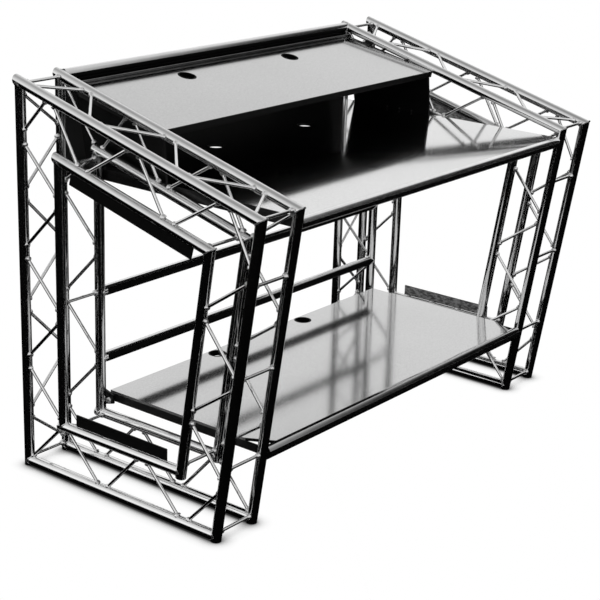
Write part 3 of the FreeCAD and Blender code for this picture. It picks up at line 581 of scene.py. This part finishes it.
def weld_beads(places, runs):
    """Low domes where rods meet tubes, a little uneven.

    The radius falls and the height rises along a quarter ellipse. Round each dome the points move in
    and out with a cosine of three lobes, turned by chance.
    """
    random = np.random.default_rng(SEED)
    share = np.linspace(0, 1, BEAD_RINGS)
    column = (len(places), 1)
    radii = BEAD_RADIUS * np.sqrt(1 - BEAD_TAPER * share ** 2)[None] * random.uniform(*BEAD_WIDTHS, column)
    rise = (share * (1 + BEAD_SINK) - BEAD_SINK)[None]
    heights = rise * BEAD_HEIGHT * random.uniform(*BEAD_RISES, column)
    domes = turned_shapes(places, runs, heights, radii, BEAD_FACETS)
    turn = full_turn(BEAD_FACETS) + random.uniform(0, 2 * np.pi, column)
    lobes = 1 + BEAD_LOBE * np.cos(BEAD_LOBE_COUNT * turn)
    spine = places[:, None, None] + (heights[..., None] * runs[:, None])[:, :, None]
    return spine + (domes - spine) * lobes[:, None, :, None]


for side in SIDES:
    places, runs = [], []
    for kind in LACED_NODES:
        node = f"{side}_{kind}"
        starts, ends, _ = bars_of(node)
        shafts = round_rods(starts, ends, ROD_RADIUS)
        rods = piece_from_stack(node + "_rods", shafts, rod_metal)
        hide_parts(node)
        along = unit(ends - starts)
        places += [starts + along * ROD_RADIUS, ends - along * ROD_RADIUS]
        runs += [along, -along]
    beads = weld_beads(np.concatenate(places), np.concatenate(runs))
    piece_from_stack(f"{side}_rod_welds", beads, bead_metal)


# Weld seams between the tubes

SEAM_RADIUS = 0.0024
SEAM_FLATNESS = 0.7
SEAM_STEPS = 96
SEAM_FACETS = 6
SEAM_RIPPLES = 24
SEAM_RIPPLE = 0.16
SADDLES = (("rear_posts_outer", "top_chords_outer"), ("bottom_chords_outer", "rear_posts_outer"),
           ("bottom_chords_outer", "front_posts_outer"), ("rear_posts_inner", "top_chords_inner"),
           ("rear_posts_inner", "bottom_chords_inner"), ("bottom_chords_inner", "front_posts_inner"))
MITRES = (("front_posts_outer", "top_chords_outer"), ("front_posts_inner", "top_chords_inner"))
RAILS = ("rear_rail_upper", "rear_rail_lower")


def axis_line(node, plane):
    """Start and end of a tube's axis; the outboard tube of a node is the one furthest from the middle."""
    starts, ends, _ = bars_of(node)
    order = np.argsort(-np.abs(starts[:, 0]))
    return starts[order[plane]], ends[order[plane]]


def joint_of(branch, main):
    """Where two axes meet, and the unit directions from there along both.

    The meeting point is the nearest point of the branch's line to the main line.
    """
    (branch_start, branch_end), (main_start, main_end) = branch, main
    branch_run, main_run = unit(branch_end - branch_start), unit(main_end - main_start)
    square = np.cross(branch_run, main_run)
    reach = np.dot(np.cross(main_start - branch_start, main_run), square) / np.dot(square, square)
    meet = branch_start + reach * branch_run

    def away(start, end, run):
        return run if np.linalg.norm(end - meet) > np.linalg.norm(start - meet) else -run

    return meet, away(branch_start, branch_end, branch_run), away(main_start, main_end, main_run)


def saddle_path(meets, branches, mains):
    """Closed curves where branch tubes run into main tubes of the same radius.

    At each turn round the branch the arm reaches from its axis to its surface. Going out along the branch,
    the point lies on the main tube where its distance from the main axis is the radius: the outer root of a
    quadratic equation. The bead faces along the mean of both surfaces' normals.
    """
    arms = TUBE_RADIUS * circles(branches, SEAM_STEPS)
    branches, mains = branches[:, None], mains[:, None]
    slant = branches - dot(branches, mains) * mains
    spread = arms - dot(arms, mains) * mains
    lead, half, rest = dot(slant, slant), dot(slant, spread), dot(spread, spread) - TUBE_RADIUS ** 2
    out = (np.sqrt(np.maximum(half ** 2 - lead * rest, 0)) - half) / lead
    points = out * branches + arms
    return meets[:, None] + points, arms + points - dot(points, mains) * mains


def mitre_path(meets, branches, mains):
    """Closed curves where two tubes meet in a mitre.

    Each arm is carried along its tube to the plane that halves the corner.
    """
    arms = TUBE_RADIUS * circles(branches, SEAM_STEPS)
    fold = unit(branches - mains)[:, None]
    branches, mains = branches[:, None], mains[:, None]
    points = arms - dot(arms, fold) / dot(branches, fold) * branches
    return meets[:, None] + points, arms + points - dot(points, mains) * mains


def seam_beads(paths, outward):
    """Weld beads: a flattened circle carried round each closed path, swelling with every ripple.

    Where a bead would stand out of the object's box, it is ground flush.
    """
    runs = unit(np.roll(paths, -1, axis=1) - np.roll(paths, 1, axis=1))
    lift = unit(outward - dot(outward, runs) * runs)
    across = np.cross(runs, lift)
    ripple = 1 + SEAM_RIPPLE * np.cos(2 * np.pi * SEAM_RIPPLES * np.arange(SEAM_STEPS) / SEAM_STEPS)
    turn = full_turn(SEAM_FACETS)[:, None]
    circle = SEAM_FLATNESS * np.cos(turn) * lift[:, :, None] + np.sin(turn) * across[:, :, None]
    beads = paths[:, :, None] + SEAM_RADIUS * ripple[None, :, None, None] * circle
    return np.clip(beads, cad_low, cad_high)


def joints_of(pairs):
    """Meeting points and directions of a list of tube pairs, as three arrays."""
    return [np.array(column) for column in zip(*(joint_of(branch, main) for branch, main in pairs))]


def frame_pairs(side, kinds):
    """Axis lines of the tube pairs of one end frame, in both of its planes."""
    return [(axis_line(f"{side}_{branch}", plane), axis_line(f"{side}_{main}", plane))
            for branch, main in kinds for plane in (OUTBOARD, INBOARD)]


for side in SIDES:
    saddles = saddle_path(*joints_of(frame_pairs(side, SADDLES)))
    mitres = mitre_path(*joints_of(frame_pairs(side, MITRES)))
    paths, outward = (np.concatenate(both) for both in zip(saddles, mitres))
    piece_from_stack(f"{side}_tube_welds", seam_beads(paths, outward), bead_metal, ring=True)

cross_pairs = [(axis_line(rail, OUTBOARD), axis_line(f"{side}_rear_posts_inner", INBOARD))
               for rail in RAILS for side in SIDES]
cross_pairs += [(axis_line("rear_top_tube", OUTBOARD), axis_line(f"{side}_top_chords_outer", INBOARD))
                for side in SIDES]
cross_beads = seam_beads(*saddle_path(*joints_of(cross_pairs)))
piece_from_stack("cross_tube_welds", cross_beads, bead_metal, ring=True)


# Plugs, bolts and screws, each a turned profile of heights and radii

PLUG = ((-0.0010, 0.0142), (0.0002, 0.0142), (0.0008, 0.0137), (0.0012, 0.0105), (0.0014, 0.0055),
        (0.0015, 0.0006))
WASHER = ((-0.0004, 0.0088), (0.0012, 0.0088), (0.0015, 0.0084))
HEX_HEAD = ((0.0010, 0.0070), (0.0015, 0.0074), (0.0056, 0.0074), (0.0062, 0.0064))
SCREW_HEAD = ((-0.0004, 0.0042), (0.0003, 0.0042), (0.0010, 0.0034), (0.0014, 0.0019), (0.0015, 0.0004))
ROUND_FACETS = 28
HEX_FACETS = 6
SCREW_FACETS = 14
BOLT_AHEAD = 0.024
BOLT_HEIGHT = 0.206
SCREWS_ACROSS = 6
SCREW_INSET = 0.04
SHELF_SCREW_DROP = 0.022
CLEAT_SCREWS = 3


def foot_of(line):
    """Lower end of an axis line and the direction out of it."""
    low, high = sorted(line, key=lambda point: point[2])
    return low, unit(low - high)


def point_at_height(line, height):
    """Point of an axis line at a height."""
    start, end = line
    return start + (end - start) * (height - start[2]) / (end[2] - start[2])


def plug_spots():
    """Places and runs of the plugs: feet of the inner front posts, rear ends of the inner bottom chords."""
    places, runs = [], []
    for side in SIDES:
        for plane in (OUTBOARD, INBOARD):
            foot, run = foot_of(axis_line(f"{side}_front_posts_inner", plane))
            chord = axis_line(f"{side}_bottom_chords_inner", plane)
            places += [foot, max(chord, key=lambda point: point[1])]
            runs += [run, np.array(BACKWARD)]
    return np.array(places), np.array(runs)


def bolt_spots():
    """Places and runs of the bolts on the shelf brackets' outer faces, just ahead of the inner posts."""
    places, runs = [], []
    for side, outward in OUTWARD.items():
        low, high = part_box(f"{side}_shelf_brackets")
        face = low[0] if outward < 0 else high[0]
        for post in ("rear_posts_inner", "front_posts_inner"):
            centre = point_at_height(axis_line(f"{side}_{post}", INBOARD), BOLT_HEIGHT)
            places.append((face, centre[1] - BOLT_AHEAD, BOLT_HEIGHT))
            runs.append((outward, 0.0, 0.0))
    return np.array(places), np.array(runs)


def screw_spots():
    """Places and runs of the panel screws: two rows across the back panel, one row along each end panel."""
    panel_low, panel_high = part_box("back_panel")
    board_low, board_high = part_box("worktop_board")
    cleat_low, cleat_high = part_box("end_panel_cleats")
    across = np.linspace(panel_low[0] + SCREW_INSET, panel_high[0] - SCREW_INSET, SCREWS_ACROSS)
    levels = np.array(((board_low[2] + board_high[2]) / 2, panel_high[2] - SHELF_SCREW_DROP))
    screw_x, screw_z = (spread.reshape(-1) for spread in np.meshgrid(across, levels))
    places = [np.column_stack((screw_x, np.full_like(screw_x, panel_high[1]), screw_z))]
    runs = [np.tile(BACKWARD, (len(screw_x), 1))]
    cleat_y = np.linspace(cleat_low[1], cleat_high[1], CLEAT_SCREWS + 2)[1:-1]
    cleat_z = np.full_like(cleat_y, (cleat_low[2] + cleat_high[2]) / 2)
    for side, outward in OUTWARD.items():
        low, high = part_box(f"{side}_end_panel")
        face = high[0] if outward < 0 else low[0]
        places.append(np.column_stack((np.full_like(cleat_y, face), cleat_y, cleat_z)))
        runs.append(np.tile((-outward, 0.0, 0.0), (CLEAT_SCREWS, 1)))
    return np.concatenate(places), np.concatenate(runs)


FASTENERS = (("tube_plugs", plug_spots, PLUG, ROUND_FACETS, cap_black, "black_edge"),
             ("bracket_washers", bolt_spots, WASHER, ROUND_FACETS, bolt_metal, "lacing_rod"),
             ("bracket_bolts", bolt_spots, HEX_HEAD, HEX_FACETS, bolt_metal, "lacing_rod"),
             ("panel_screws", screw_spots, SCREW_HEAD, SCREW_FACETS, cap_black, "black_edge"))
for name, spots, profile, facets, material, slot in FASTENERS:
    piece_from_stack(name, turned_alike(*spots(), profile, facets), material)


# Liners of the cable holes in the two shelves

LINER_WALL = 0.0016
LINER_SLACK = 0.0002
LINER_SEAT = 0.0001
LINER_DROP = 0.008
LINER_FLANGE = 0.0038
LINER_LIP = 0.0008
LINER_FACETS = 48
HOLE_FIELD = 0.60
SAME_LEVEL = 1e-5


def facing_up(points, triangles):
    """Unit normal of the largest triangle that faces up, and how far its plane lies along that normal."""
    normals = triangle_normals(points, triangles)
    sizes = np.where(normals[:, 2] > 0, np.linalg.norm(normals, axis=1), 0)
    normal = unit(normals[sizes.argmax()])
    return normal, (points @ normal).max()


def hole_rims(node):
    """Centres and radius of a board's holes on its upper face, that face's normal, the board's thickness."""
    points, triangles = triangles_of(node)
    normal, level = facing_up(points, triangles)
    on_top = np.abs(points @ normal - level) < SAME_LEVEL
    rim = points[on_top & (np.abs(points[:, 0]) < HOLE_FIELD)]
    halves = [rim[rim[:, 0] < 0], rim[rim[:, 0] > 0]]
    centres = np.array([half.mean(axis=0) for half in halves])
    radius = np.linalg.norm(halves[0] - centres[0], axis=1).mean()
    return centres, radius, normal, level - (points @ normal).min()


def board_liners(node):
    """Collars in a board's holes: turned rings with a wall through the board and a low flange on top. They are
    black and reach below the board, painted shade for the dark seen through the holes.
    """
    centres, radius, normal, thickness = hole_rims(node)
    outside, inside, foot = radius - LINER_SLACK, radius - LINER_WALL, -thickness - LINER_DROP
    flange = radius + LINER_FLANGE
    profile = ((foot, outside), (LINER_SEAT, outside), (LINER_SEAT, flange),
               (LINER_LIP / 2, flange + LINER_LIP / 4), (LINER_LIP, flange - LINER_LIP),
               (LINER_LIP, inside + LINER_LIP), (0.0, inside), (foot, inside))
    return turned_alike(centres, np.tile(normal, (len(centres), 1)), profile, LINER_FACETS)


liners = np.concatenate([board_liners(node) for node in ("lower_shelf_board", "upper_shelf_board")])
piece_from_stack("hole_liners", liners, painted_shade_black, ring=True)


# Black strips of painted shade on the fronts of the cross tubes, with the upper and lower angle of each

SHADE_STRIP_ANGLES = {"rear_top_tube": (3.0, -60.0), "rear_rail_upper": (31.0, -66.0), "rear_rail_lower": (38.0, -66.0)}
SHADE_STRIP_HALF = 0.655
SHADE_STRIP_THICKNESS = 0.0014
SHADE_STRIP_STEPS = 17
SHADE_STRIP_ROWS = 9


def tube_shade_strip(node, upper, lower):
    """Painted shade: a black strip round the front of a cross tube, two arcs of different radius, joined and
    carried across.

    Angles count in degrees from the front, upwards positive.
    """
    starts, ends, _ = bars_of(node)
    turn = np.radians(np.linspace(upper, lower, SHADE_STRIP_STEPS))
    arc = np.column_stack((np.zeros(SHADE_STRIP_STEPS), -np.cos(turn), np.sin(turn)))
    section = np.concatenate((arc * (TUBE_RADIUS + SHADE_STRIP_THICKNESS), arc[::-1] * TUBE_RADIUS))
    return carried_across((starts[0] + ends[0]) / 2 + section, (-SHADE_STRIP_HALF, SHADE_STRIP_HALF), SHADE_STRIP_ROWS)


shade_strips = np.array([tube_shade_strip(node, *angles) for node, angles in SHADE_STRIP_ANGLES.items()])
piece_from_stack("tube_shade_strips", shade_strips, painted_shade_black)


# Batten on the upper shelf, and tabs between that shelf and the top chords

BATTEN_ROUND = 0.0028
BATTEN_CORNERS = ((1, 1), (-1, 1), (-1, -1), (1, -1))
BATTEN_CORNER_STEPS = 5
BATTEN_ROWS = 13
TAB_FOOT = 0.008
TAB_REACH = 0.668
TAB_RISER = 0.0045
TAB_THICKNESS = 0.0024
TAB_ROWS = 5
LEAST_RISE = TAB_THICKNESS + 0.0004
CHORD_OVERLAP = 0.002
LUG_RISE = 0.005

shelf_normal, _ = facing_up(*triangles_of("upper_shelf_board"))
shelf_slope = np.cross(shelf_normal, ACROSS)


def rounded_batten(node):
    """Strip of rectangular section with rounded edges, carried across the shelf.

    Round each corner's centre the outline is a quarter circle, so the section is four arcs joined by flats.
    """
    points, _ = triangles_of(node)
    across, along, above = points[:, 0], points @ shelf_slope, points @ shelf_normal
    half_depth, half_height = np.ptp(along) / 2, np.ptp(above) / 2
    quarter = np.repeat(np.arange(4), BATTEN_CORNER_STEPS)
    turn = np.radians(quarter * 90 + np.tile(np.linspace(0, 90, BATTEN_CORNER_STEPS), 4))
    section = np.array(BATTEN_CORNERS)[quarter] * (np.array((half_depth, half_height)) - BATTEN_ROUND)
    section = section + BATTEN_ROUND * np.column_stack((np.cos(turn), np.sin(turn)))
    middle = (along.min() + half_depth) * shelf_slope + (above.min() + half_height) * shelf_normal
    ring = middle + section[:, :1] * shelf_slope + section[:, 1:] * shelf_normal
    return carried_across(ring, (across.min(), across.max()), BATTEN_ROWS)[None]


def lug_tabs(node, outward):
    """Stepped tabs: a profile of foot and riser carried along the shelf's slope over the width of each lug.

    The foot lies on the board's end, the riser stands under the chord; corners of the profile are given as
    distance from the middle of the object and height above the board.
    """
    stack = []
    for points, triangles in solids_of(node):
        corners = points[np.unique(triangles)]
        near, far = (corners @ shelf_slope).min(), (corners @ shelf_slope).max()
        level, top = (corners @ shelf_normal).min(), (corners @ shelf_normal).max()
        rise = max(top - level - LUG_RISE - TUBE_RADIUS + CHORD_OVERLAP, LEAST_RISE)
        heel = np.abs(corners[:, 0]).max() - TAB_FOOT
        outline = np.array(((heel, 0), (TAB_REACH, 0), (TAB_REACH, rise), (TAB_REACH - TAB_RISER, rise),
                            (TAB_REACH - TAB_RISER, TAB_THICKNESS), (heel, TAB_THICKNESS)))
        rows = np.linspace(near, far, TAB_ROWS)[:, None, None] * shelf_slope
        across = outward * outline[None, :, :1] * np.array(ACROSS)
        stack.append(rows + across + (level + outline[None, :, 1:]) * shelf_normal)
    stack = np.array(stack)
    return stack if outward * shelf_slope[1] < 0 else stack[:, :, ::-1]


batten = piece_from_stack("shelf_batten", rounded_batten("upper_shelf_batten"), batten_metal)
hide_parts("upper_shelf_batten")
for side, outward in OUTWARD.items():
    node = f"{side}_upper_shelf_lugs"
    tabs = piece_from_stack(f"{side}_shelf_tabs", lug_tabs(node, outward), bar_black)
    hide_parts(node)


# Tack welds along the scrim strips

TACK_RADIUS = 0.0030
TACK_OFFSET = 0.0026
TACK_SPAN = (0.04, 0.96)
TACK_RINGS = 7
TACK_FACETS = 8


def tack_welds(node, outward):
    """Spindles along the inner side of each tab: the radius follows half a sine wave from end to end."""
    starts, runs, lengths = [], [], []
    for points, triangles in solids_of(node):
        corners = points[np.unique(triangles)]
        centre = (corners.min(axis=0) + corners.max(axis=0)) / 2
        run = unit(np.linalg.eigh(np.cov((corners - centre).T))[1][:, 2])
        reach = np.ptp(corners @ run)
        starts.append(centre - run * reach / 2 - (outward * TACK_OFFSET, 0, 0))
        runs.append(run)
        lengths.append(reach)
    share = np.linspace(*TACK_SPAN, TACK_RINGS)
    heights = np.array(lengths)[:, None] * share
    radii = np.tile(TACK_RADIUS * np.sin(np.pi * share), (len(starts), 1))
    return turned_shapes(np.array(starts), np.array(runs), heights, radii, TACK_FACETS)


for side, outward in OUTWARD.items():
    tacks = tack_welds(f"{side}_scrim_tabs", outward)
    piece_from_stack(f"{side}_scrim_tacks", tacks, bead_metal)


# Studio: floor, surroundings, lamp and the camera of the photograph

FLOOR_HALF = 40.0
CONTACT_REACH = 0.048
CONTACT_SAMPLES = 16
CONTACT_STOPS = ((0.0, 0.003), (0.38, 0.05), (0.64, 0.40), (0.86, 0.88), (0.97, 1.0))
WORLD_LEVEL = 0.85
NIGHT = 0.001
SKY_STOPS = ((0.0, NIGHT), (0.49, NIGHT), (0.505, 0.55), (0.56, 0.96), (0.66, 0.98), (0.80, 0.78),
             (0.90, 0.62), (0.97, 0.38), (1.0, 0.34))
DARK_SIDE = (0.976, -0.207, 0.067)
DARK_LIMITS = (0.745, 0.90)
FRONT_LIMITS = (-0.25, -0.05)
LAMP_SIZE = (3.0, 2.4)
LAMP_ENERGY = 60.0
LAMP_PLACE = (0.6, 0.8, 4.2)
LAMP_AIM = (0.0, 0.0, 0.6)
CAMERA_PLACE = (-3.67341, -2.77155, 1.97022)
CAMERA_RIGHT = (0.620908, -0.783248, 0.031567)
CAMERA_UP = (0.232713, 0.222635, 0.946720)
CAMERA_BACK = (-0.748544, -0.580479, 0.320508)
CAMERA_REACH = 200.0
FILM_WIDTH = 36.0
FOCAL_LENGTH = 92.975


def floor_paint(name):
    """Matt white floor, hardly mottled; seen directly it glows white, with a painted contact shadow close to
    what stands on it.
    """
    finish = Finish(name, Roughness=0.9)
    mottle = finish.places.noise(scale=1.5, detail=2.0)
    finish.feed(Base_Color=mottle.mix(grey(0.93), grey(0.97)))
    # Painted contact shadow: the glow darkens with ambient occlusion close to the booth.
    closeness = mottle.node("ShaderNodeAmbientOcclusion", {"samples": CONTACT_SAMPLES},
                            {"Distance": CONTACT_REACH}, "AO")
    white = closeness.node("ShaderNodeValToRGB", {"stops": CONTACT_STOPS}, {0: closeness})
    glow = white.node("ShaderNodeEmission", {}, {"Color": white})
    seen = mottle.node("ShaderNodeLightPath", output="Is Camera Ray")
    lit = Wire(finish.tree, finish.shader.outputs["BSDF"])
    both = seen.node("ShaderNodeMixShader", {}, {0: seen, 1: lit, 2: glow})
    finish.tree.links.new(both.socket, finish.tree.nodes["Material Output"].inputs["Surface"])
    return finish.material


def studio_floor():
    """Stage surface: one square on the ground, which no metal mirrors."""
    edge = (-FLOOR_HALF, FLOOR_HALF)
    mesh = bpy.data.meshes.new("floor")
    mesh.from_pydata([(x, y, 0.0) for y in edge for x in edge], [], [(0, 1, 3, 2)])
    mesh.materials.append(floor_paint("floor_paint"))
    sheet = bpy.data.objects.new("floor", mesh)
    bpy.context.scene.collection.objects.link(sheet)
    sheet.visible_glossy = False


def studio_world():
    """White round the object.

    What the metal mirrors is dark below the horizon and at the front towards the right, bright above the
    horizon and dimmer overhead.
    """
    world = bpy.data.worlds.new("studio")
    bpy.context.scene.world = world
    world.use_nodes = True
    tree = world.node_tree
    ray = Wire(tree, tree.nodes.new("ShaderNodeTexCoord").outputs["Generated"])
    sky = ray.node("ShaderNodeValToRGB", {"stops": SKY_STOPS}, {0: ray.along(UPWARD) * 0.5 + 0.5})
    ahead = 1 - ray.along(BACKWARD).between(*FRONT_LIMITS)
    sky = (ray.along(DARK_SIDE).between(*DARK_LIMITS) * ahead).mix(sky, grey(NIGHT))
    seen = ray.node("ShaderNodeLightPath", output="Is Camera Ray")
    mirrored = ray.node("ShaderNodeLightPath", output="Is Glossy Ray")
    around = seen.mix(mirrored.mix(grey(WORLD_LEVEL), sky), grey(1.0))
    tree.links.new(around.socket, tree.nodes["Background"].inputs["Color"])


def studio_lamp():
    """Broad soft lamp above the booth, which no metal mirrors."""
    lamp = bpy.data.lights.new("soft_box", "AREA")
    lamp.shape = "RECTANGLE"
    lamp.size, lamp.size_y = LAMP_SIZE
    lamp.energy = LAMP_ENERGY
    soft_box = bpy.data.objects.new("soft_box", lamp)
    soft_box.location = LAMP_PLACE
    soft_box.rotation_euler = (Vector(LAMP_AIM) - soft_box.location).to_track_quat("-Z", "Y").to_euler()
    soft_box.visible_glossy = False
    bpy.context.scene.collection.objects.link(soft_box)


def photo_camera():
    """Camera at the photograph's viewing angle: its axes are the columns of its turn."""
    lens = bpy.data.cameras.new("camera")
    lens.sensor_width = FILM_WIDTH
    lens.lens = FOCAL_LENGTH
    lens.clip_end = CAMERA_REACH
    camera = bpy.data.objects.new("camera", lens)
    turn = Matrix((CAMERA_RIGHT, CAMERA_UP, CAMERA_BACK)).transposed().to_4x4()
    camera.matrix_world = Matrix.Translation(CAMERA_PLACE) @ turn
    bpy.context.scene.collection.objects.link(camera)
    bpy.context.scene.camera = camera


studio_floor()
studio_world()
studio_lamp()
photo_camera()
bpy.context.scene.view_settings.view_transform = "Standard"
